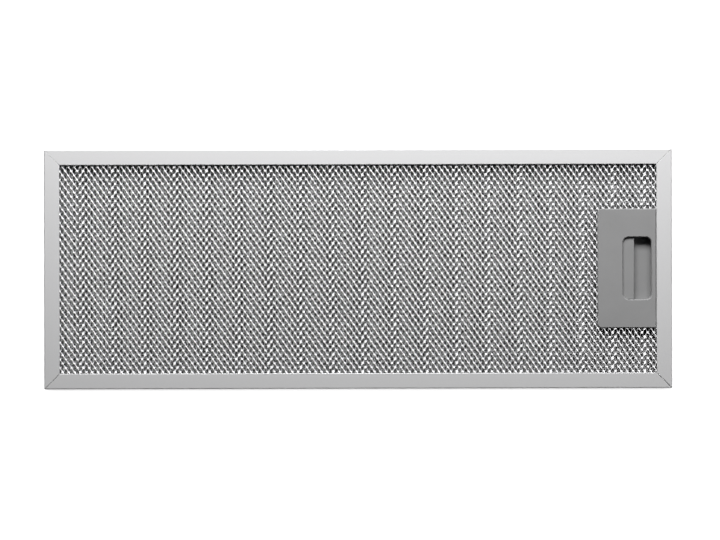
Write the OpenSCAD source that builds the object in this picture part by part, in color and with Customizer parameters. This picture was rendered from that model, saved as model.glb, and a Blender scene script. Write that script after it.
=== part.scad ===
// Aluminium mesh grease filter of a cooker hood, with a sprung finger latch.
// Lies on its back: X runs along its length towards the latch, Y across its
// width, Z out of its front face. Origin: centre of its back plane.
// "Top" and "bottom" are +Y and -Y, as the filter is seen from the front.

/* [Frame] */
// Length of the frame, end to end
filter_length = 500; // [420:1:620]
// Width of the frame, side to side
filter_width = 191; // [155:1:240]
// Thickness of the frame, which is the height of its channel
filter_depth = 9; // [8.8:0.1:12]
// Thickness of the rails' aluminium strip
strip = 0.6; // [0.4:0.05:0.75]
// Width of each rail's front lip
front_lip = 12.5; // [10.4:0.1:16]
// Width of each rail's back lip
back_lip = 11; // [8:0.5:14]
// Width of the hem folded under the front lip's free edge
hem = 3; // [2:0.5:5]
// Outside radius of the rails' two bends
rail_bend = 1; // [0.8:0.1:1.4]
// Gap between two rails, square to their mitre
mitre_gap = 0.2; // [0.1:0.05:0.4]

/* [Corner keys] */
// Length of each leg, from the corner
key_leg = 22; // [18:1:30]
// Thickness of the key's strip
key_t = 1.2; // [0.8:0.1:1.6]
// Gap between key and rail wall
key_gap = 0.1; // [0.05:0.05:0.2]
// Free height above and below the key, past the bends
key_relief = 0.5; // [0.4:0.1:0.8]
// Distance of the punched dimple from the corner
dimple_place = 14; // [10:1:16]
// Radius of the dimple inside the rail
dimple_r = 1.5; // [1:0.1:2]
// Depth that the dimple reaches into the key
dimple_bite = 0.9; // [0.5:0.05:1.2]

/* [Mesh pack] */
// Thickness of a flat mesh sheet
flat_mesh_t = 0.7; // [0.5:0.1:0.9]
// Thickness of a corrugated mesh sheet, measured upright
wave_mesh_t = 0.7; // [0.5:0.1:0.9]
// Distance from one corrugation to the next
wave_pitch = 12; // [8:0.5:18]
// Gap between two layers, and between the pack and the lips
layer_gap = 0.05; // [0.02:0.01:0.1]
// Gap around the pack inside the rails, past the keys
pack_edge_gap = 0.2; // [0.1:0.05:0.5]
// Gap between the pack and the latch
latch_cut_gap = 0.2; // [0.1:0.05:0.5]

/* [Latch plate] */
// Visible length of the plate, up to the rail's inner edge
plate_length = 47; // [44:0.5:60]
// Width of the plate
plate_width = 95; // [88:1:125]
// Thickness of the plate
plate_t = 1.8; // [1.4:0.1:2]
// Depth of the plate's face below the frame's front face
plate_drop = 0.6; // [0.3:0.1:0.8]
// Corner radius of the plate
plate_corner_r = 3.5; // [2:0.5:6]
// Gap between the plate and the rail's hem
plate_gap = 0.3; // [0.2:0.05:0.5]
// Thickness of the skirt walls under the plate
skirt_t = 1.5; // [1.2:0.1:2]
// Thickness of the deck that runs on under the rail's lip
deck_t = 1; // [0.8:0.1:1.1]

/* [Finger pocket] */
// Length of the finger hole, along X
hole_length = 22.5; // [20:0.5:28]
// Width of the finger hole, along Y
hole_width = 49.5; // [42:0.5:56]
// Corner radius of the finger hole
hole_corner_r = 4.4; // [2:0.2:8]
// Plate left between the hole and the rail's inner edge
hole_margin = 4.1; // [3:0.1:6]
// Thickness of the pocket's walls
pocket_wall = 1.4; // [1:0.1:1.8]
// Part of the hole's length that the pull tab covers at rest
tab_cover = 8.8; // [7:0.1:11]

/* [Latch slide] */
// Travel of the slide from rest to fully pulled
travel = 5; // [3:0.5:5.5]
// Clearance between the slide and what guides it
slide_clearance = 0.2; // [0.1:0.05:0.3]
// Gap between the slide and its stop at rest
stop_gap = 0.1; // [0.05:0.05:0.2]
// Length of the tab that stays between the pocket's walls when fully pulled
tab_guide = 1.3; // [1:0.1:2]
// Width of the slide's two arms
arm_width = 9.5; // [8:0.5:12]
// Length of the slide's pull bar, along X
pull_bar = 8.7; // [8:0.1:11]
// Distance of the bolt's tip inside the frame's outer face
nose_setback = 0.3; // [0.2:0.05:0.5]
// Length of the bolt's nose
nose_length = 3.3; // [2.5:0.1:4]
// Width of the bolt's nose
nose_width = 20; // [12:1:30]
// Thickness of the bolt's nose
nose_t = 2.2; // [1.8:0.1:2.6]
// Thickness of the nose at its tip, in front of the ramp
nose_tip_t = 0.7; // [0.5:0.1:1]
// Length of the nose's flat back before the ramp
nose_flat = 0.8; // [0.5:0.1:1.5]
// Side clearance of the keeper notch around the nose
notch_clearance = 2; // [1:0.5:3]

/* [Springs] */
// Distance of each spring from the latch's middle line
spring_place = 31; // [30:0.5:32]
// Outside diameter of the springs
spring_d = 4.2; // [3.6:0.1:4.4]
// Diameter of the springs' wire
wire_d = 0.35; // [0.3:0.05:0.45]
// Number of turns
spring_turns = 11; // [6:1:12]
// Radius of the pins that hold the springs' ends
spring_pin_r = 1.1; // [0.8:0.1:1.2]
// Length of those pins
spring_pin_length = 2.5; // [2:0.1:3]
// Depth of the spring's seat in the slide
spring_seat = 5; // [3:0.5:6]
// Gap at each end of a spring
spring_end_gap = 0.05; // [0.02:0.01:0.1]

/* [Latch cover] */
// Thickness of the cover
cover_t = 1.4; // [1.2:0.1:1.5]
// Distance of the cover's outer face from the back plane
cover_inset = 0.15; // [0.1:0.05:0.2]
// Width of the flange that holds the mesh from behind
cover_flange = 3; // [2:0.5:5]
// Radius of the cover screws' thread
screw_r = 1.1; // [0.9:0.05:1.2]
// Radius of the screws' countersunk head
screw_head_r = 2; // [1.8:0.1:2.2]
// Radius of the bosses that take the screws
boss_r = 2.6; // [2.4:0.1:3]
// Distance of the screws from the plate's top and bottom edges
screw_inset = 6; // [5.5:0.5:8]
// Distance of the left screws from the plate's left edge
screw_left = 5; // [4.5:0.5:8]
// Distance of the right screws from the finger hole's right edge, leftwards
screw_right = 2.4; // [2:0.1:6]
// Length of the slots in the screws' cross recess
recess_length = 2.2; // [1.6:0.1:2.6]
// Width and depth of those slots
recess_width = 0.5; // [0.3:0.05:0.6]
// Free depth of the screw holes past the screws' ends
screw_end_gap = 0.5; // [0.2:0.1:1]
// Clearance of a screw in its hole
screw_clearance = 0.03; // [0.02:0.01:0.1]

/* [Hidden] */
$fn = 48;
past = 1; // how far a cutter runs past what it cuts

// Heights
hem_t = 2 * strip;
pack_bottom = strip + layer_gap;
pack_top = filter_depth - hem_t - layer_gap;
wave_height = (pack_top - pack_bottom - 3 * flat_mesh_t - 4 * layer_gap) / 2;
back_mesh_z = pack_bottom;
inner_mesh_z = back_mesh_z + flat_mesh_t + layer_gap;
lower_wave_z = inner_mesh_z + flat_mesh_t + layer_gap;
upper_wave_z = lower_wave_z + wave_height + layer_gap;
front_mesh_z = upper_wave_z + wave_height + layer_gap;
plate_top = filter_depth - plate_drop;
plate_underside = plate_top - plate_t;
cover_top = cover_inset + cover_t;
skirt_bottom = cover_top + layer_gap;
slide_bottom = cover_top + slide_clearance;
slide_top = plate_underside - slide_clearance;
slide_middle = (slide_bottom + slide_top) / 2;

// Places along X
frame_end = filter_length / 2;
rail_edge = frame_end - front_lip;
wall_inside = frame_end - strip;
plate_left = rail_edge - plate_length;
plate_right = rail_edge - plate_gap;
latch_right = wall_inside - plate_gap;
hole_right = rail_edge - hole_margin;
hole_left = hole_right - hole_length;
tab_edge = hole_left + tab_cover;
pocket_end = hole_right + pocket_wall;
nose_tip = frame_end - nose_setback;
bar_right = nose_tip - nose_length;
bar_left = pocket_end + travel + 2 * slide_clearance;
pull_bar_right = tab_edge - travel - tab_guide;
pull_bar_left = pull_bar_right - pull_bar;
pocket_side_left = pull_bar_right + stop_gap;
spring_left = plate_left + skirt_t;
spring_right = pull_bar_left + spring_seat;

// Places along Y
arm_inside = hole_width / 2 + pocket_wall + slide_clearance;
arm_outside = arm_inside + arm_width;
screw_y = plate_width / 2 - screw_inset;
screw_x = [plate_left + screw_left, hole_right - screw_right];
notch_half = nose_width / 2 + notch_clearance;

// Edge of the mesh pack inside the rails
pack_inset = strip + key_gap + key_t + pack_edge_gap;
pack_length = filter_length - 2 * pack_inset;
pack_width = filter_width - 2 * pack_inset;

// ---------------------------------------------------------------- helpers

// Rectangle from corner a to corner b, with its corners rounded
module rounded_rectangle(a, b, r) {
    union() {
        translate([a[0] + r, a[1]]) square([b[0] - a[0] - 2 * r, b[1] - a[1]]);
        translate([a[0], a[1] + r]) square([b[0] - a[0], b[1] - a[1] - 2 * r]);
        for (x = [a[0] + r, b[0] - r], y = [a[1] + r, b[1] - r])
            translate([x, y]) circle(r = r);
    }
}

// Box between two opposite corners
module box(a, b) {
    translate(a) cube(b - a);
}

// Copies its child to both sides of the latch's middle line
module both_sides() {
    children();
    mirror([0, 1, 0]) children();
}

// ------------------------------------------------------------------ rails

// Quarter of a bend whose centre is the origin, opening towards +x and +y
module bend_quarter() {
    intersection() {
        difference() {
            circle(r = rail_bend);
            circle(r = rail_bend - strip);
        }
        translate([-rail_bend, -rail_bend]) square(rail_bend);
    }
}

// Cross-section of a rail: x inwards from the outer face, y up
module rail_section() {
    union() {
        translate([rail_bend, 0]) square([back_lip - rail_bend, strip]);
        translate([0, rail_bend]) square([strip, filter_depth - 2 * rail_bend]);
        translate([rail_bend, filter_depth - strip])
            square([front_lip - strip - rail_bend, strip]);
        translate([rail_bend, rail_bend]) bend_quarter();
        translate([rail_bend, filter_depth - rail_bend]) mirror([0, 1]) bend_quarter();
        translate([front_lip - hem, filter_depth - hem_t]) square([hem - strip, hem_t]);
        translate([front_lip - strip, filter_depth - strip]) circle(r = strip);
    }
}

// Dimple punched through a rail's wall into its corner key: the rail's part
module dimple_boss() {
    rotate([-90, 0, 0]) cylinder(r = dimple_r, h = strip + key_gap + dimple_bite);
}

// Hollow that the punch leaves on the rail's outer face
module dimple_hollow() {
    translate([0, -past, 0])
        rotate([-90, 0, 0]) cylinder(r = dimple_r - strip, h = strip + past);
}

// Rail of the given length along X, outer face on y = 0, lips towards +y
module rail(length) {
    inset = mitre_gap / sqrt(2);
    half = length / 2 - inset;
    difference() {
        intersection() {
            union() {
                translate([-length / 2, 0, 0])
                    rotate([90, 0, 90]) linear_extrude(length) rail_section();
                for (side = [-1, 1])
                    translate([side * (length / 2 - dimple_place), 0, filter_depth / 2])
                        dimple_boss();
            }
            linear_extrude(filter_depth)
                polygon([[-half, 0], [half, 0],
                         [half - front_lip, front_lip], [-half + front_lip, front_lip]]);
        }
        for (side = [-1, 1])
            translate([side * (length / 2 - dimple_place), 0, filter_depth / 2])
                dimple_hollow();
    }
}

module top_rail() {
    color("gainsboro")
        rotate([0, 0, 180]) translate([0, -filter_width / 2, 0]) rail(filter_length);
}

module bottom_rail() {
    color("gainsboro") translate([0, -filter_width / 2, 0]) rail(filter_length);
}

module left_rail() {
    color("gainsboro")
        rotate([0, 0, -90]) translate([0, -filter_length / 2, 0]) rail(filter_width);
}

// The latch end's rail, notched from behind for the hood's keeper
module right_rail() {
    color("gainsboro") difference() {
        rotate([0, 0, 90]) translate([0, -filter_length / 2, 0]) rail(filter_width);
        box([bar_right - past, -notch_half, -past],
            [frame_end + past, notch_half, plate_underside]);
    }
}

// ------------------------------------------------------------ corner keys

// Angle that joins two rails inside their channels, in the +X +Y corner
module corner_key() {
    outer = strip + key_gap;
    inner = outer + key_t;
    bottom = strip + key_relief;
    top = filter_depth - strip - key_relief;
    corner = [filter_length / 2, filter_width / 2];
    color("silver") translate([corner[0], corner[1], 0]) difference() {
        box([-key_leg, -key_leg, bottom], [-outer, -outer, top]);
        box([-key_leg - past, -key_leg - past, bottom - past], [-inner, -inner, top + past]);
        translate([-dimple_place, 0, filter_depth / 2])
            rotate([90, 0, 0]) cylinder(r = dimple_r + key_gap, h = inner + past);
        translate([0, -dimple_place, filter_depth / 2])
            rotate([0, -90, 0]) cylinder(r = dimple_r + key_gap, h = inner + past);
    }
}

module corner_key_top_left() { mirror([1, 0, 0]) corner_key(); }
module corner_key_top_right() { corner_key(); }
module corner_key_bottom_left() { mirror([1, 0, 0]) mirror([0, 1, 0]) corner_key(); }
module corner_key_bottom_right() { mirror([0, 1, 0]) corner_key(); }

// -------------------------------------------------------------- mesh pack

// Cut-out that the latch needs in every layer of the pack
module latch_cut() {
    edge = latch_cut_gap;
    half = plate_width / 2 + edge;
    translate([0, 0, -past]) linear_extrude(filter_depth + 2 * past)
        rounded_rectangle([plate_left - edge, -half],
                          [frame_end + plate_corner_r + edge, half], plate_corner_r + edge);
}

module flat_mesh(bottom) {
    difference() {
        box([-pack_length / 2, -pack_width / 2, bottom],
            [pack_length / 2, pack_width / 2, bottom + flat_mesh_t]);
        latch_cut();
    }
}

// Band of one corrugated sheet in section, length along x, resting on y = 0
module wave_section(length) {
    steps = ceil(length / wave_pitch * 8);
    swing = (wave_height - wave_mesh_t) / 2;
    function height(x) = swing + swing * cos(360 * x / wave_pitch);
    xs = [for (i = [0:steps]) -length / 2 + length * i / steps];
    polygon(concat(
        [for (i = [0:steps]) [xs[i], height(xs[i])]],
        [for (i = [steps:-1:0]) [xs[i], height(xs[i]) + wave_mesh_t]]));
}

module front_mesh() { color("lightgray") flat_mesh(front_mesh_z); }

// Corrugated layer behind the front mesh, its ridges along Y
module upper_wave_mesh() {
    color("darkgray") difference() {
        translate([0, pack_width / 2, upper_wave_z])
            rotate([90, 0, 0]) linear_extrude(pack_width) wave_section(pack_length);
        latch_cut();
    }
}

// Corrugated layer crossed under the upper one, its ridges along X
module lower_wave_mesh() {
    color("gray") difference() {
        translate([-pack_length / 2, 0, lower_wave_z])
            rotate([90, 0, 90]) linear_extrude(pack_length) wave_section(pack_width);
        latch_cut();
    }
}

module inner_mesh() { color("darkgray") flat_mesh(inner_mesh_z); }

module back_mesh() { color("lightgray") flat_mesh(back_mesh_z); }

// ------------------------------------------------------------------ latch

// Outline of the finger hole, grown by the given wall and reaching further left
module hole_outline(wall, reach = 0) {
    half = hole_width / 2 + wall;
    rounded_rectangle([hole_left - reach - wall, -half], [hole_right + wall, half],
                      hole_corner_r + wall);
}

// Outline of the whole latch, grown by the given edge, with square corners
// where it lies inside the rail
module latch_outline(edge, right) {
    half = plate_width / 2 + edge;
    r = plate_corner_r + edge;
    intersection() {
        rounded_rectangle([plate_left - edge, -half], [right + 2 * r, half], r);
        translate([plate_left - edge, -half]) square([right - plate_left + edge, 2 * half]);
    }
}

// Centres of the four cover screws
module at_screws() {
    for (x = screw_x, side = [-1, 1]) translate([x, side * screw_y, 0]) children();
}

// Pin along X that holds one end of a spring, rooted as deep in what carries it
module spring_pin(root) {
    translate([-root, spring_place, slide_middle])
        rotate([0, 90, 0]) cylinder(r = spring_pin_r, h = spring_pin_length + root);
}

// Face plate, skirt, deck under the rail's lip, pocket walls, guides and bosses
module latch_housing() {
    color("dimgray") difference() {
        union() {
            translate([0, 0, plate_underside]) linear_extrude(plate_t)
                latch_outline(0, plate_right);
            translate([0, 0, plate_underside]) linear_extrude(deck_t)
                latch_outline(0, latch_right);
            housing_skirt();
            housing_pocket();
            at_screws() translate([0, 0, skirt_bottom])
                cylinder(r = boss_r, h = plate_underside - skirt_bottom + past);
            both_sides() {
                box([pocket_side_left, arm_outside + slide_clearance, skirt_bottom],
                    [plate_right, arm_outside + slide_clearance + pocket_wall,
                     plate_underside + past]);
                translate([spring_left, 0, 0]) spring_pin(past);
            }
        }
        translate([0, 0, plate_underside - past])
            linear_extrude(plate_t + 2 * past) hole_outline(0);
        at_screws() translate([0, 0, skirt_bottom - past])
            cylinder(r = screw_r + screw_clearance,
                     h = plate_underside - skirt_bottom + past);
    }
}

// Walls round the latch on three sides, open where the bolt comes out
module housing_skirt() {
    height = plate_underside - skirt_bottom + deck_t / 2;
    translate([0, 0, skirt_bottom]) linear_extrude(height) difference() {
        latch_outline(0, latch_right);
        latch_outline(-skirt_t, latch_right + past);
    }
}

// Walls of the finger pocket below the plate, open towards the pull tab
module housing_pocket() {
    translate([0, 0, skirt_bottom])
        linear_extrude(plate_underside - skirt_bottom + plate_t / 2) intersection() {
            difference() {
                hole_outline(pocket_wall, hole_length);
                hole_outline(0, hole_length);
            }
            translate([pocket_side_left, -plate_width / 2])
                square([plate_length, plate_width]);
        }
}

// Pull bar with its tab, two arms round the pocket, and the bolt's bar and nose
module latch_slide() {
    tab_half = hole_width / 2 - slide_clearance;
    seat_half = spring_d / 2 + slide_clearance;
    color("gray") difference() {
        union() {
            box([pull_bar_left, -arm_outside, slide_bottom],
                [pull_bar_right, arm_outside, slide_top]);
            box([pull_bar_right - past, -tab_half, slide_bottom],
                [tab_edge, tab_half, slide_top]);
            both_sides() box([pull_bar_left, arm_inside, slide_bottom],
                             [bar_right, arm_outside, slide_top]);
            box([bar_left, -arm_outside, slide_bottom], [bar_right, arm_outside, slide_top]);
            bolt_nose();
        }
        both_sides() box([pull_bar_left - past, spring_place - seat_half, slide_bottom - past],
                         [spring_right, spring_place + seat_half, slide_top + past]);
    }
    color("gray") both_sides()
        translate([spring_right, 0, 0]) mirror([1, 0, 0]) spring_pin(past);
}

// Nose with a ramp towards the back, so that the keeper pushes it aside
module bolt_nose() {
    top = slide_bottom + nose_t;
    translate([0, nose_width / 2, 0]) rotate([90, 0, 0]) linear_extrude(nose_width)
        polygon([[bar_right - past, slide_bottom],
                 [bar_right + nose_flat, slide_bottom],
                 [nose_tip, top - nose_tip_t],
                 [nose_tip, top],
                 [bar_right - past, top]]);
}

// Compression spring along X between the skirt and its seat in the slide
module latch_spring() {
    sides = 6;
    steps_per_turn = 14;
    steps = spring_turns * steps_per_turn;
    coil_r = (spring_d - wire_d) / 2;
    start = spring_left + spring_end_gap + wire_d / 2;
    run = spring_right - spring_end_gap - wire_d / 2 - start;
    function ring(i, j) =
        let (turn = 360 * i / steps_per_turn, round = 360 * j / sides,
             r = coil_r + wire_d / 2 * cos(round))
        [start + run * i / steps + wire_d / 2 * sin(round), r * cos(turn), r * sin(turn)];
    points = [for (i = [0:steps], j = [0:sides - 1]) ring(i, j)];
    skin = [for (i = [0:steps - 1], j = [0:sides - 1])
        let (a = i * sides + j, b = i * sides + (j + 1) % sides)
        each [[a, b, b + sides], [a, b + sides, a + sides]]];
    ends = [for (j = [1:sides - 2])
        each [[0, j + 1, j], [steps * sides, steps * sides + j, steps * sides + j + 1]]];
    translate([0, 0, slide_middle]) polyhedron(points, concat(skin, ends));
}

module latch_spring_top() {
    color("silver") translate([0, spring_place, 0]) latch_spring();
}

module latch_spring_bottom() {
    color("silver") translate([0, -spring_place, 0]) latch_spring();
}

// Back cover: the pocket's floor, and a flange that holds the mesh from behind
module latch_cover() {
    lip_edge = frame_end - back_lip - plate_gap;
    color("dimgray") difference() {
        union() {
            translate([0, 0, cover_inset]) linear_extrude(cover_t)
                latch_outline(0, lip_edge);
            translate([0, 0, pack_bottom]) linear_extrude(cover_top - pack_bottom)
                latch_outline(0, latch_right);
            translate([0, 0, cover_inset])
                linear_extrude(strip - cover_inset) latch_outline(cover_flange, lip_edge);
        }
        box([bar_right - past, -notch_half, -past],
            [frame_end + past, notch_half, cover_top + past]);
        at_screws() {
            translate([0, 0, -past]) cylinder(r = screw_r + screw_clearance, h = 4 * past);
            translate([0, 0, cover_inset - past])
                cylinder(r = screw_head_r + screw_clearance, h = past);
            translate([0, 0, cover_inset])
                cylinder(r1 = screw_head_r + screw_clearance,
                         r2 = screw_r + screw_clearance, h = screw_head_r - screw_r);
        }
    }
}

// Four countersunk screws with a cross recess, driven from the back
module cover_screws() {
    color("silver") at_screws() difference() {
        union() {
            translate([0, 0, cover_inset])
                cylinder(r1 = screw_head_r, r2 = screw_r, h = screw_head_r - screw_r);
            translate([0, 0, cover_inset])
                cylinder(r = screw_r, h = plate_underside - screw_end_gap - cover_inset);
        }
        for (turn = [0, 90]) rotate([0, 0, turn])
            box([-recess_length / 2, -recess_width / 2, cover_inset - past],
                [recess_length / 2, recess_width / 2, cover_inset + recess_width]);
    }
}

top_rail();
bottom_rail();
left_rail();
right_rail();
corner_key_top_left();
corner_key_top_right();
corner_key_bottom_left();
corner_key_bottom_right();
front_mesh();
upper_wave_mesh();
lower_wave_mesh();
inner_mesh();
back_mesh();
latch_housing();
latch_slide();
latch_spring_top();
latch_spring_bottom();
latch_cover();
cover_screws();
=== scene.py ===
import math
import random

import bmesh
import bpy
from mathutils import Matrix, Vector


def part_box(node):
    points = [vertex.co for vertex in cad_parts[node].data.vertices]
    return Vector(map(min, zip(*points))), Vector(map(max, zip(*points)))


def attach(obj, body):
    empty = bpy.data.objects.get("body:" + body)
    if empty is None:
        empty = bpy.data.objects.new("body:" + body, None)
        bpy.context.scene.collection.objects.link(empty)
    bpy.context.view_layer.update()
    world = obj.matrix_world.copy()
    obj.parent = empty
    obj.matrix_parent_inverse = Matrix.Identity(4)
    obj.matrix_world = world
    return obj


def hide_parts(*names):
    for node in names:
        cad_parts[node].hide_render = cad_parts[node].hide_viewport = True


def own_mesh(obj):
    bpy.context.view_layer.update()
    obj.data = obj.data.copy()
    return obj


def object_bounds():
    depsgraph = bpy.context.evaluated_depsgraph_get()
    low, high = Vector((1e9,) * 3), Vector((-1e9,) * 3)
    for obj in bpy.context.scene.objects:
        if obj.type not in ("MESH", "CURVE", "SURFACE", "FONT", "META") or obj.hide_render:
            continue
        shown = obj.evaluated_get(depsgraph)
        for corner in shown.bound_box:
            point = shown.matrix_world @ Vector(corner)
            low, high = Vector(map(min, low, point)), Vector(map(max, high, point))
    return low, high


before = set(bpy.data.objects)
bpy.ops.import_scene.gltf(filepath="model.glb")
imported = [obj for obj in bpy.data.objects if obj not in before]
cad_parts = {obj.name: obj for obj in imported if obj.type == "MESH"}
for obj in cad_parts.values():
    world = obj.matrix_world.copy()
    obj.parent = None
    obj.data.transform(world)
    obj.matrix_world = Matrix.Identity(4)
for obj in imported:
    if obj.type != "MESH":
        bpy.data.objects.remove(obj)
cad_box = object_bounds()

MM = 0.001

# The frame's driving sizes, read from the solids
low, high = cad_box
LENGTH = high.x - low.x
WIDTH = high.y - low.y
DEPTH = high.z
RAIL_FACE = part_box("left_rail")[1].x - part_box("left_rail")[0].x
COVER_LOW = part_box("latch_cover")[0]
HOUSING_LOW, HOUSING_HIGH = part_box("latch_housing")
SLIDE_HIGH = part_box("latch_slide")[1]
PLATE_CORNER = 3.5 * MM


# ---------------------------------------------------------------- materials

def new_material(name):
    """A node material with its shader and an Object coordinate to read."""
    material = bpy.data.materials.new(name)
    material.use_nodes = True
    nodes = material.node_tree.nodes
    shader = nodes["Principled BSDF"]
    place = nodes.new("ShaderNodeTexCoord").outputs["Object"]
    return material, nodes, material.node_tree.links, shader, place


def grain(nodes, links, place, scale, detail=3.0, stretch=(1, 1, 1)):
    """Noise of so many grains to the metre, drawn out along an axis by a small stretch."""
    mapping = nodes.new("ShaderNodeMapping")
    mapping.inputs["Scale"].default_value = stretch
    texture = nodes.new("ShaderNodeTexNoise")
    texture.inputs["Scale"].default_value = scale
    texture.inputs["Detail"].default_value = detail
    links.new(place, mapping.inputs["Vector"])
    links.new(mapping.outputs["Vector"], texture.inputs["Vector"])
    return texture.outputs["Fac"]


def spread(nodes, links, value, least, most):
    """A noise value's middle range, mapped from least to most."""
    ramp = nodes.new("ShaderNodeMapRange")
    ramp.inputs["From Min"].default_value = 0.3
    ramp.inputs["From Max"].default_value = 0.7
    ramp.inputs["To Min"].default_value = least
    ramp.inputs["To Max"].default_value = most
    links.new(value, ramp.inputs["Value"])
    return ramp.outputs["Result"]


def tint(nodes, links, value, dark, light):
    """A grey between dark and light, by a value from 0 to 1."""
    mix = nodes.new("ShaderNodeMix")
    mix.data_type = "RGBA"
    mix.inputs["A"].default_value = (dark, dark, dark * 1.005, 1)
    mix.inputs["B"].default_value = (light, light, light * 1.005, 1)
    links.new(value, mix.inputs["Factor"])
    return mix.outputs["Result"]


def relief(nodes, links, shader, height, strength, distance):
    """Raises the surface by a height value."""
    bump = nodes.new("ShaderNodeBump")
    bump.inputs["Strength"].default_value = strength
    bump.inputs["Distance"].default_value = distance
    links.new(height, bump.inputs["Height"])
    links.new(bump.outputs["Normal"], shader.inputs["Normal"])


def metal(name, dark, light, smooth, rough, scale, stretch=(1, 1, 1), strength=0.1):
    """A metal whose tone, roughness and fine relief vary with one grain."""
    material, nodes, links, shader, place = new_material(name)
    shader.inputs["Metallic"].default_value = 1.0
    value = grain(nodes, links, place, scale, stretch=stretch)
    even = spread(nodes, links, value, 0.0, 1.0)
    links.new(tint(nodes, links, even, dark, light), shader.inputs["Base Color"])
    links.new(spread(nodes, links, value, smooth, rough), shader.inputs["Roughness"])
    relief(nodes, links, shader, value, strength, 0.02 * MM)
    return material


def moulded_plastic(name, dark, light):
    """Matte plastic with a fine spark-eroded texture and a faint cloudiness."""
    material, nodes, links, shader, place = new_material(name)
    cloud = spread(nodes, links, grain(nodes, links, place, 60), 0.0, 1.0)
    links.new(tint(nodes, links, cloud, dark, light), shader.inputs["Base Color"])
    fine = grain(nodes, links, place, 2600, detail=2.0)
    links.new(spread(nodes, links, fine, 0.5, 0.62), shader.inputs["Roughness"])
    relief(nodes, links, shader, fine, 0.25, 0.03 * MM)
    return material


rail_satin = metal("rail_satin", 0.768, 0.798, 0.62, 0.66, 1800, strength=0.04)
expanded_foil = metal("expanded_foil", 0.94, 0.98, 0.91, 0.99, 900, strength=0.05)
# Painted shade: the same aluminium foil as the front sheet, made far darker for the layers deep in
# the pack, which the layers above shade
shade_darkened_foil = metal("shade_darkened_foil", 0.32, 0.38, 0.4, 0.5, 900, strength=0.05)
mill_aluminium = metal("mill_aluminium", 0.6, 0.68, 0.4, 0.55, 1200)
spring_steel = metal("spring_steel", 0.5, 0.58, 0.22, 0.35, 2500)
zinc_plate = metal("zinc_plate", 0.55, 0.66, 0.25, 0.4, 900)
housing_grey = moulded_plastic("housing_grey", 0.248, 0.262)
slide_grey = moulded_plastic("slide_grey", 0.24, 0.253)
cover_grey = moulded_plastic("cover_grey", 0.226, 0.238)


# ------------------------------------------------------------ making pieces

def make_piece(bm, name, material, body, node):
    """Turns a finished bmesh into a piece that rides on a body for a node."""
    mesh = bpy.data.meshes.new(name)
    bm.to_mesh(mesh)
    bm.free()
    mesh.materials.append(material)
    piece = bpy.data.objects.new(name, mesh)
    bpy.context.scene.collection.objects.link(piece)
    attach(piece, body)
    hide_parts(node)
    return piece


def smooth_by_angle(bm, degrees, widest=math.inf):
    """Smooth shading, with sharp edges where faces meet at more than an angle.

    Faces above the widest area stay flat, so that a bevel beside them can't tilt their light.
    """
    limit = math.radians(degrees)
    for face in bm.faces:
        face.smooth = face.calc_area() < widest
    for edge in bm.edges:
        edge.smooth = len(edge.link_faces) == 2 and edge.calc_face_angle(0) < limit


def whole(bm):
    return bm.verts[:] + bm.edges[:] + bm.faces[:]


# -------------------------------------------------------------------- rails

STRIP = 0.6 * MM            # thickness of the folded strip
BEND = 1.0 * MM             # outside radius of its two bends
NOSE = 0.35 * MM            # outside radius of the hem's two tight bends
HEM_THICK = 1.3 * MM        # thickness of the hem, two layers with a gap
EASE = 0.2 * MM             # flat strip beside each bend, so that the faces stay flat in the light
MITRE_TOP = 0.3 * MM        # depth within which a mitre's edges count as its top ones
MITRE_EDGE = 0.14 * MM      # rounding of those edges
HEM = 3.0 * MM              # width of the hem
BACK_LIP = 11.0 * MM
NOTCH_LIP = 4.6 * MM        # how far the keeper notch reaches into the back lip
NOTCH_HALF = 12.0 * MM
NOTCH_TOP = 6.6 * MM
DIMPLE_PLACE = 14.0 * MM    # from the corner
DIMPLE_ROOM = 2.0 * MM      # half the flat kept round a dimple
# Radius and depth of a dimple, from its rim down to its bottom
DIMPLE = [(r * MM, d * MM) for r, d in ((1.05, 0), (0.9, 0.08), (0.8, 0.6), (0.5, 0.9))]


def edges_of(geometry):
    return [g for g in geometry if isinstance(g, bmesh.types.BMEdge)]


def draw_out(bm, edges, by):
    """Lengthens the strip flat from its free edge."""
    made = bmesh.ops.extrude_edge_only(bm, edges=edges)["geom"]
    verts = [g for g in made if isinstance(g, bmesh.types.BMVert)]
    bmesh.ops.translate(bm, verts=verts, vec=by)
    return edges_of(made)


def fold(bm, edges, centre, degrees, steps):
    """Lengthens the strip round a bend along X."""
    verts = list({v for e in edges for v in e.verts})
    made = bmesh.ops.spin(
        bm, geom=verts + edges, cent=centre, axis=(1, 0, 0), dvec=(0, 0, 0),
        angle=math.radians(degrees), steps=steps, use_merge=False, use_duplicate=False,
    )
    return edges_of(made["geom_last"])


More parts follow.
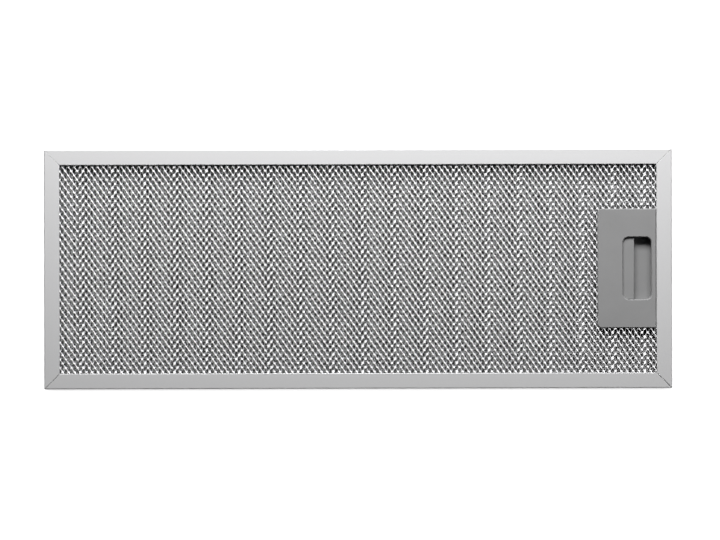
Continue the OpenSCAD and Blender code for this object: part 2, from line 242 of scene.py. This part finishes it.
def folded_strip(stations):
    """The rail's outer skin, folded from its back lip round to its hem."""
    bm = bmesh.new()
    verts = [bm.verts.new((x, BACK_LIP, 0)) for x in stations]
    free = [bm.edges.new(pair) for pair in zip(verts, verts[1:])]
    for y in (NOTCH_LIP, BEND + EASE, BEND):
        free = draw_out(bm, free, (0, y - free[0].verts[0].co.y, 0))
    free = fold(bm, free, (0, BEND, BEND), -90, 6)
    for z in (BEND + EASE, DEPTH - NOTCH_TOP, NOTCH_TOP, DEPTH - BEND - EASE, DEPTH - BEND):
        free = draw_out(bm, free, (0, 0, z - free[0].verts[0].co.z))
    free = fold(bm, free, (0, BEND, DEPTH - BEND), -90, 6)
    for y in (BEND + EASE, RAIL_FACE - NOSE - EASE, RAIL_FACE - NOSE):
        free = draw_out(bm, free, (0, y - free[0].verts[0].co.y, 0))
    free = fold(bm, free, (0, RAIL_FACE - NOSE, DEPTH - NOSE), -90, 5)
    free = draw_out(bm, free, (0, 0, 2 * NOSE - HEM_THICK))
    free = fold(bm, free, (0, RAIL_FACE - NOSE, DEPTH - HEM_THICK + NOSE), -90, 5)
    for y in (RAIL_FACE - NOSE - EASE, RAIL_FACE - HEM):
        free = draw_out(bm, free, (0, y - free[0].verts[0].co.y, 0))
    bmesh.ops.recalc_face_normals(bm, faces=bm.faces)
    return bm


def punch_dimple(bm, x):
    """Pushes the wall in as a punch does, where the corner key sits behind it."""
    middle = Vector((x, 0, DEPTH / 2))
    patch = min(bm.faces, key=lambda f: (f.calc_center_median() - middle).length)
    border = patch.edges[:]
    bmesh.ops.delete(bm, geom=[patch], context="FACES_ONLY")
    border = edges_of(bmesh.ops.subdivide_edges(bm, edges=border, cuts=4)["geom_split"])
    inside = Matrix.Translation((x, STRIP, DEPTH / 2)) @ Matrix.Rotation(math.radians(90), 4, "X")
    ring = bmesh.ops.create_circle(bm, segments=len(border), radius=DIMPLE[0][0],
                                   matrix=inside @ Matrix.Rotation(math.radians(45), 4, "Z"))
    edges = list({e for v in ring["verts"] for e in v.link_edges})
    bmesh.ops.bridge_loops(bm, edges=border + edges)
    bmesh.ops.translate(bm, verts=ring["verts"], vec=(0, -STRIP, 0))
    for (wide, high), (narrow, deep) in zip(DIMPLE, DIMPLE[1:]):
        edges = draw_out(bm, edges, (0, deep - high, 0))
        verts = list({v for e in edges for v in e.verts})
        bmesh.ops.scale(bm, verts=verts, vec=(narrow / wide, 1, narrow / wide),
                        space=Matrix.Translation(-middle))
    bmesh.ops.edgeloop_fill(bm, edges=edges)


def cut_keeper_notch(bm):
    """Opens the wall and the back lip for the hood's keeper."""
    gone = []
    for face in bm.faces:
        centre = face.calc_center_median()
        if abs(centre.x) < NOTCH_HALF and centre.y < NOTCH_LIP and centre.z < NOTCH_TOP:
            gone.append(face)
    bmesh.ops.delete(bm, geom=gone, context="FACES")


def mitre(bm, end, seam):
    """Cuts one end at 45 degrees, half a seam short of the frame's corner."""
    side = 1 if end > 0 else -1
    cut = bmesh.ops.bisect_plane(
        bm, geom=whole(bm), plane_co=(end - side * seam / math.sqrt(2), 0, 0),
        plane_no=(side, 1, 0), clear_outer=True, dist=1e-8,
    )
    made = bmesh.ops.edgeloop_fill(bm, edges=edges_of(cut["geom_cut"]))
    rim = {e for f in made["faces"] for e in f.edges}
    top = [e for e in rim if all(v.co.z > DEPTH - MITRE_TOP for v in e.verts)]
    bmesh.ops.bevel(bm, geom=top, offset=MITRE_EDGE, segments=2, profile=0.5,
                    affect="EDGES", material=-1)


def make_rail(name, length, turn, reach, seams, notched=False):
    """Folds, cuts and places one rail. Its seams are half the gap at each end."""
    half = length / 2
    dimples = (DIMPLE_PLACE - half, half - DIMPLE_PLACE)
    stations = [-half, half] + [x + side * DIMPLE_ROOM for x in dimples for side in (-1, 1)]
    if notched:
        stations += [-NOTCH_HALF, NOTCH_HALF]
    bm = folded_strip(sorted(stations))
    if notched:
        cut_keeper_notch(bm)
    for x in dimples:
        punch_dimple(bm, x)
    bmesh.ops.recalc_face_normals(bm, faces=bm.faces)
    bmesh.ops.solidify(bm, geom=bm.faces[:], thickness=STRIP)
    mitre(bm, -half, seams[0])
    mitre(bm, half, seams[1])
    bmesh.ops.recalc_face_normals(bm, faces=bm.faces)
    smooth_by_angle(bm, 20)
    place = Matrix.Rotation(math.radians(turn), 4, "Z") @ Matrix.Translation((0, -reach, 0))
    bmesh.ops.transform(bm, matrix=place, verts=bm.verts)
    return make_piece(bm, name + "_folded", rail_satin, "frame", name)


make_rail("bottom_rail", LENGTH, 0, WIDTH / 2, (0.32 * MM, 0.45 * MM))
make_rail("top_rail", LENGTH, 180, WIDTH / 2, (0.2 * MM, 0.16 * MM))
make_rail("left_rail", WIDTH, -90, LENGTH / 2, (0.16 * MM, 0.32 * MM))
make_rail("right_rail", WIDTH, 90, LENGTH / 2, (0.45 * MM, 0.2 * MM), notched=True)


# ---------------------------------------------------------------- mesh pack

FOIL = 0.16 * MM            # thickness of the foil
STRAND = 0.62 * MM          # width of a strand, across its face
BROADER = 0.7               # how much broader it is drawn on a ridge, as a share
BOND = 1.7 * MM             # length over which two strands stay joined
DRIFT = 0.05 * MM           # unevenness of the drawing
LATCH_CUT = 0.1 * MM        # gap between the mesh and the latch
SHEET_ROOM = 1 * MM         # how much a sheet is smaller than its place
MOST_TRIANGLES = 190000     # in one piece


class Weave:
    """Sizes of one expanded sheet, in the directions that it was made in.

    Its strands skew one way. Along ridges, where the wave behind presses, they skew the
    other way and are broader.
    """

    def __init__(self, short_way, long_way, lean, skew=0, untwist=None, ridges=None):
        self.half_short = short_way / 2
        self.half_long = long_way / 2
        self.lean = Matrix.Rotation(math.radians(lean), 3, "Y")
        self.skew = math.radians(skew)
        self.ridges = ridges
        self.rows = 2 if untwist is None else 3
        self.middle = Matrix.Rotation(math.radians(untwist or 0), 3, "Y") @ Vector((STRAND, 0, 0))

    def bond_at(self, along):
        """Width and length of a bond, at a place along the sheet."""
        skew, press = self.skew, 0
        if self.ridges:
            pitch, start, width = self.ridges
            off = (along - start + pitch / 2) % pitch - pitch / 2
            press = math.exp(-(2 * off / width) ** 2)
            skew *= 1 - 2 * press
        tilt = self.lean @ Matrix.Rotation(skew, 3, "Z")
        breadth = STRAND * (1 + BROADER * press)
        return tilt @ Vector((breadth, 0, 0)), tilt @ Vector((0, BOND, 0))


def expand_sheet(weave, across, along, seed):
    """Slits a sheet in staggered rows and draws it open, as expanded foil is made."""
    shake = random.Random(seed)
    strips = int(across / weave.half_short)
    bonds = int(along / weave.half_long) // 2 * 2
    rows = weave.rows * (bonds - 1) + 1
    bm = bmesh.new()
    bmesh.ops.create_grid(bm, x_segments=strips, y_segments=rows, size=0.5)
    column = bm.verts.layers.int.new("column")
    row = bm.verts.layers.int.new("row")
    for vert in bm.verts:
        vert[column] = round((vert.co.x + 0.5) * strips)
        vert[row] = round((vert.co.y + 0.5) * rows)
    slits = []
    for edge in bm.edges:
        a, b = edge.verts
        if a[column] != b[column] or a[column] in (0, strips):
            continue
        bond, part = divmod(min(a[row], b[row]), weave.rows)
        if part or (a[column] + bond) % 2:
            slits.append(edge)
    bmesh.ops.split_edges(bm, edges=slits)
    drift = [[Vector([shake.gauss(0, DRIFT) for _ in range(3)]) for _ in range(bonds)]
             for _ in range(strips + 1)]

    places = [(bond - (bonds - 1) / 2) * weave.half_long for bond in range(bonds)]
    turns = [weave.bond_at(place) for place in places]

    def strip_middle(strip, bond):
        """Middle of a strip at a bond, where it is joined to the strip before or after it."""
        joined_before = (strip + bond) % 2 == 0
        line = strip if joined_before else strip + 1
        middle = Vector(((line - strips / 2) * weave.half_short, places[bond], 0))
        return middle + drift[line][bond] + turns[bond][0] * (0.5 if joined_before else -0.5)

    for face in bm.faces:
        strip = min(v[column] for v in face.verts)
        for vert in face.verts:
            bond, part = divmod(vert[row], weave.rows)
            side = -0.5 if vert[column] == strip else 0.5
            here = strip_middle(strip, bond)
            if part < 2:
                vert.co = here + turns[bond][0] * side + turns[bond][1] * (part - 0.5)
            else:
                vert.co = (here + strip_middle(strip, bond + 1)) / 2 + weave.middle * side
    return bm


def corrugate(bm, swing, pitch):
    """Bends a sheet into waves along Y, keeping its foil length."""
    k = 2 * math.pi / pitch
    gather = (swing * k) ** 2 / 4
    for vert in bm.verts:
        along = vert.co.y
        y = along - gather / (2 * k) * math.sin(2 * k * along)
        slope = math.atan(swing * k * math.cos(k * y))
        vert.co.y = y - math.sin(slope) * vert.co.z
        vert.co.z = swing * math.sin(k * y) + math.cos(slope) * vert.co.z


def clear_latch(bm):
    """Cuts the sheet back to the latch's outline."""
    left = HOUSING_LOW.x - LATCH_CUT
    half = HOUSING_HIGH.y + LATCH_CUT
    corner = left + PLATE_CORNER * (1 - math.sqrt(0.5)) * 2
    planes = [(Vector(p), Vector(n)) for p, n in (
        ((left, 0, 0), (1, 0, 0)), ((0, half, 0), (0, -1, 0)), ((0, -half, 0), (0, 1, 0)),
        ((corner, half, 0), (1, -1, 0)), ((corner, -half, 0), (1, 1, 0)))]
    reach = 8 * MM
    for point, inward in planes:
        near = [f for f in bm.faces
                if f.calc_center_median().x > left - reach
                and abs(f.calc_center_median().y) < half + reach]
        edges = {e for f in near for e in f.edges}
        verts = {v for f in near for v in f.verts}
        bmesh.ops.bisect_plane(bm, geom=[*near, *edges, *verts], plane_co=point,
                               plane_no=inward, dist=1e-7)
    gone = [f for f in bm.faces
            if all((f.calc_center_median() - point).dot(inward) > 0 for point, inward in planes)]
    bmesh.ops.delete(bm, geom=gone, context="FACES")


def in_parts(bm):
    """The sheet whole, or as two halves where its foil would take too many triangles."""
    triangles = 4 * len(bm.faces) + 2 * sum(e.is_boundary for e in bm.edges)
    if triangles < MOST_TRIANGLES:
        return [(bm, "_sheet")]
    right = bm.copy()
    for part, side in ((bm, 1), (right, -1)):
        gone = [f for f in part.faces if f.calc_center_median().x * side > 0]
        bmesh.ops.delete(part, geom=gone, context="FACES")
    return [(bm, "_left"), (right, "_right")]


def make_sheet(name, weave, foil, seed, turned=False, wave=None):
    """One layer of the pack: expanded, corrugated, turned, cut out and thickened."""
    bottom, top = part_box(name)
    size = top - bottom
    across, along = (size.y, size.x) if turned else (size.x, size.y)
    bm = expand_sheet(weave, across - SHEET_ROOM, along - SHEET_ROOM, seed)
    if wave:
        corrugate(bm, *wave)
    turn = Matrix.Rotation(math.radians(90 if turned else 0), 4, "Z")
    place = Matrix.Translation((0, 0, (bottom.z + top.z) / 2)) @ turn
    bmesh.ops.transform(bm, matrix=place, verts=bm.verts)
    clear_latch(bm)
    bmesh.ops.recalc_face_normals(bm, faces=bm.faces)
    smooth_by_angle(bm, 40)
    for part, side in in_parts(bm):
        piece = make_piece(part, name + side, foil, "frame", name)
        shell = piece.modifiers.new("foil", "SOLIDIFY")
        shell.thickness = FOIL
        shell.offset = 0


face_weave = Weave(6.81 * MM, 4.68 * MM, 20, -38, 13, (24.86 * MM, -4.1 * MM, 5 * MM))
back_weave = Weave(6.81 * MM, 4.68 * MM, -22)
wave_weave = Weave(6.85 * MM, 3.92 * MM, -22)
WAVE = (0.85 * MM, 12 * MM)

make_sheet("front_mesh", face_weave, expanded_foil, 1, turned=True)
make_sheet("upper_wave_mesh", wave_weave, shade_darkened_foil, 2, turned=True, wave=WAVE)
make_sheet("lower_wave_mesh", wave_weave, shade_darkened_foil, 3, wave=WAVE)
make_sheet("inner_mesh", face_weave, shade_darkened_foil, 4)
make_sheet("back_mesh", back_weave, expanded_foil, 5, turned=True)


# -------------------------------------------------------------------- latch

PLATE_TOP = HOUSING_HIGH.z
HOLE_RIGHT = LENGTH / 2 - RAIL_FACE - 4.1 * MM
HOLE_LEFT = HOLE_RIGHT - 22.5 * MM
HOLE_HALF = 24.75 * MM
HOLE_CHAMFER = 1.0 * MM
PLATE_CHAMFER = 0.7 * MM
TAB_ROUNDING = 0.3 * MM
COVER_ROUNDING = 0.12 * MM
WIDEST_CURVED = 12 * MM * MM    # largest face that belongs to a rounding
WIRE = 0.35 * MM                # of the springs


def copy_of(node):
    """A merged copy of a solid, with its flat faces made whole again."""
    bm = bmesh.new()
    bm.from_mesh(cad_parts[node].data)
    bmesh.ops.remove_doubles(bm, verts=bm.verts, dist=1e-6)
    bmesh.ops.dissolve_limit(bm, angle_limit=math.radians(1), verts=bm.verts, edges=bm.edges)
    return bm


def sharp_edges(bm, height):
    """The sharp edges that lie at a height."""
    return [e for e in bm.edges if e.calc_face_angle(0) > math.radians(50)
            and all(abs(v.co.z - height) < 1e-5 for v in e.verts)]


def ease(bm, edges, width, segments=3):
    """Breaks edges with a rounding, or with a chamfer of one segment."""
    bmesh.ops.bevel(bm, geom=edges, offset=width, segments=segments, profile=0.5,
                    affect="EDGES", material=-1, clamp_overlap=True)


def in_hole(edge):
    near = 0.1 * MM
    return all(HOLE_LEFT - near < v.co.x < HOLE_RIGHT + near and abs(v.co.y) < HOLE_HALF + near
               for v in edge.verts)


def make_housing():
    """The face plate and its walls, with chamfers round the finger hole and the plate."""
    bm = copy_of("latch_housing")
    ease(bm, [e for e in sharp_edges(bm, PLATE_TOP) if in_hole(e)], HOLE_CHAMFER, 1)
    ease(bm, [e for e in sharp_edges(bm, PLATE_TOP) if not in_hole(e)], PLATE_CHAMFER, 1)
    smooth_by_angle(bm, 35, WIDEST_CURVED)
    make_piece(bm, "latch_housing_moulded", housing_grey, "frame", "latch_housing")


def make_slide():
    """The tab, arms and bolt, with the tab's top edges rounded."""
    bm = copy_of("latch_slide")
    ease(bm, sharp_edges(bm, SLIDE_HIGH.z), TAB_ROUNDING)
    smooth_by_angle(bm, 35, WIDEST_CURVED)
    make_piece(bm, "latch_slide_moulded", slide_grey, "slide", "latch_slide")


def make_cover():
    """The back cover, with its outer edges rounded."""
    bm = copy_of("latch_cover")
    ease(bm, sharp_edges(bm, COVER_LOW.z), COVER_ROUNDING, 2)
    smooth_by_angle(bm, 35, WIDEST_CURVED)
    make_piece(bm, "latch_cover_moulded", cover_grey, "frame", "latch_cover")


def make_spring(node, turns=11):
    """Winds a spring with a closed turn at each end, on a mesh of its own."""
    start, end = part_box(node)
    centre = (start + end) / 2
    reach = (end.z - start.z - WIRE) / 2
    bm = bmesh.new()
    section = (Matrix.Translation((start.x + WIRE / 2, centre.y, centre.z + reach))
               @ Matrix.Rotation(math.radians(90), 4, "X"))
    ring = bmesh.ops.create_circle(bm, segments=8, radius=WIRE / 2, matrix=section)["verts"]
    free = list({e for v in ring for e in v.link_edges})
    bmesh.ops.edgeloop_fill(bm, edges=free)
    open_turns = turns - 2
    rise = (end.x - start.x - 3 * WIRE) / open_turns
    steps = 20
    for count, pitch in ((1, WIRE), (open_turns, rise), (1, WIRE)):
        verts = list({v for e in free for v in e.verts})
        free = edges_of(bmesh.ops.spin(
            bm, geom=verts + free, cent=centre, axis=(1, 0, 0), dvec=(pitch / steps, 0, 0),
            angle=math.radians(360 * count), steps=steps * count, use_merge=False,
            use_duplicate=False)["geom_last"])
    bmesh.ops.edgeloop_fill(bm, edges=free)
    bmesh.ops.recalc_face_normals(bm, faces=bm.faces)
    smooth_by_angle(bm, 60)
    piece = make_piece(bm, node + "_wound", spring_steel, "frame", node)
    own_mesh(piece)


make_housing()
make_slide()
make_cover()
make_spring("latch_spring_top")
make_spring("latch_spring_bottom")

for node, material in {
    "corner_key_top_left": mill_aluminium, "corner_key_top_right": mill_aluminium,
    "corner_key_bottom_left": mill_aluminium, "corner_key_bottom_right": mill_aluminium,
    "cover_screws": zinc_plate,
}.items():
    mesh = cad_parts[node].data
    mesh.materials.clear()
    mesh.materials.append(material)


# ------------------------------------------------- floor, light and camera

FLOOR_HALF = 6.0
PAINTED_SHADOW_REACH = 12 * MM           # how near the object must be to darken the floor's glow, a painted shadow under and round it
SHUT, OPEN = 0.42, 0.58     # openness of a place at which that glow is gone and whole


def make_floor():
    """A pale floor that darkens only in the object's shadow and under it: its matte part takes the
    real shadow, and ambient occlusion dims its glow as a painted shadow under and just round the
    object.
    """
    bm = bmesh.new()
    bmesh.ops.create_grid(bm, x_segments=1, y_segments=1, size=FLOOR_HALF)
    mesh = bpy.data.meshes.new("floor")
    bm.to_mesh(mesh)
    bm.free()
    floor = bpy.data.objects.new("floor", mesh)
    bpy.context.scene.collection.objects.link(floor)
    material = bpy.data.materials.new("pale_floor")
    material.use_nodes = True
    nodes, links = material.node_tree.nodes, material.node_tree.links
    nodes.clear()
    output = nodes.new("ShaderNodeOutputMaterial")
    matte = nodes.new("ShaderNodeBsdfDiffuse")
    matte.inputs["Color"].default_value = (0.6, 0.6, 0.6, 1)
    glow = nodes.new("ShaderNodeEmission")
    # Painted shadow: ambient occlusion dims the glow under and near the object
    shade = nodes.new("ShaderNodeAmbientOcclusion")
    shade.inputs["Distance"].default_value = PAINTED_SHADOW_REACH
    ramp = nodes.new("ShaderNodeMapRange")
    ramp.inputs["From Min"].default_value = SHUT
    ramp.inputs["From Max"].default_value = OPEN
    links.new(shade.outputs["AO"], ramp.inputs["Value"])
    links.new(ramp.outputs["Result"], glow.inputs["Strength"])
    rays = nodes.new("ShaderNodeLightPath").outputs
    seen = rays["Is Camera Ray"]
    for kind in ("Is Glossy Ray", "Is Transmission Ray"):
        either = nodes.new("ShaderNodeMath")
        either.operation = "MAXIMUM"
        links.new(seen, either.inputs[0])
        links.new(rays[kind], either.inputs[1])
        seen = either.outputs[0]
    both = nodes.new("ShaderNodeAddShader")
    links.new(glow.outputs[0], both.inputs[0])
    links.new(matte.outputs[0], both.inputs[1])
    pale = nodes.new("ShaderNodeMixShader")
    links.new(seen, pale.inputs["Fac"])
    links.new(matte.outputs[0], pale.inputs[1])
    links.new(both.outputs[0], pale.inputs[2])
    from_below = nodes.new("ShaderNodeMixShader")
    links.new(nodes.new("ShaderNodeNewGeometry").outputs["Backfacing"], from_below.inputs["Fac"])
    links.new(pale.outputs[0], from_below.inputs[1])
    links.new(nodes.new("ShaderNodeBsdfTransparent").outputs[0], from_below.inputs[2])
    links.new(from_below.outputs[0], output.inputs["Surface"])
    mesh.materials.append(material)


def add_area_light(name, place, size, watts):
    """An area light that faces the middle of the filter."""
    light = bpy.data.lights.new(name, "AREA")
    light.shape = "RECTANGLE"
    light.size, light.size_y = size
    light.energy = watts
    lamp = bpy.data.objects.new(name, light)
    lamp.location = place
    lamp.rotation_euler = (-Vector(place)).to_track_quat("-Z", "Y").to_euler()
    bpy.context.scene.collection.objects.link(lamp)


def set_world(strength):
    world = bpy.data.worlds.new("studio")
    world.use_nodes = True
    back = world.node_tree.nodes["Background"]
    back.inputs["Color"].default_value = (1, 1, 1, 1)
    back.inputs["Strength"].default_value = strength
    bpy.context.scene.world = world


def add_camera():
    """Square above the front face, with a long lens."""
    share = 0.873               # the filter's length, as a share of the picture's width
    lens, sensor = 180, 36
    camera = bpy.data.cameras.new("camera")
    camera.lens, camera.sensor_width = lens, sensor
    rig = bpy.data.objects.new("camera", camera)
    distance = LENGTH / share * lens / sensor
    rig.location = (1.55 * MM, -0.9 * MM, DEPTH + distance)
    rig.rotation_euler = (0, 0, math.radians(-0.13))
    bpy.context.scene.collection.objects.link(rig)
    bpy.context.scene.camera = rig


make_floor()
add_area_light("key_light", place=(0.045, 1.0, 0.81), size=(1.4, 0.435), watts=32.5)
add_area_light("side_light", place=(1.2, 0, 0.9), size=(0.5, 0.5), watts=0.6)
set_world(0.005)
add_camera()
bpy.context.scene.view_settings.view_transform = "Standard"
